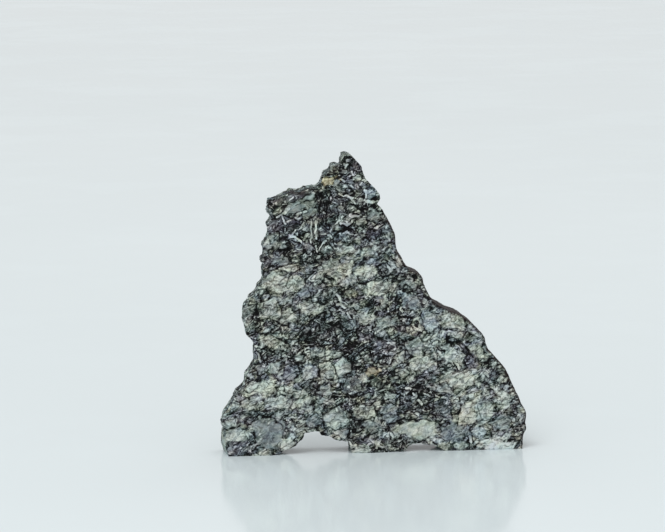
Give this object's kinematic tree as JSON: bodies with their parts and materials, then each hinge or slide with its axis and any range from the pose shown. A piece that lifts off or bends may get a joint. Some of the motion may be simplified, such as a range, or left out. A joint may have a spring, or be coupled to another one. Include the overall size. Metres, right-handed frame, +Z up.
{
  "type": "shergottite meteorite slice",
  "caption": "Flat slice of mottled grey-green volcanic meteorite, broken to a tall triangle with a knobbly tip, a dark crusted flank and a sawn lower edge that it stands on.",
  "frame": {"origin": "on the plane of the three flat feet, under the middle of the stone", "axes": "+X to the right seen from the front face, +Y from the front face to the back face, +Z up from the sawn lower edge to the tip"},
  "size_m": [0.0317, 0.0046, 0.0311],
  "materials": {
    "shergottite": "sawn faces of interlocking grey-green and dark crystals, broken and crusted flanks"
  },
  "bodies": {
    "root": {"stone": "shergottite"}
  },
  "joints": []
}
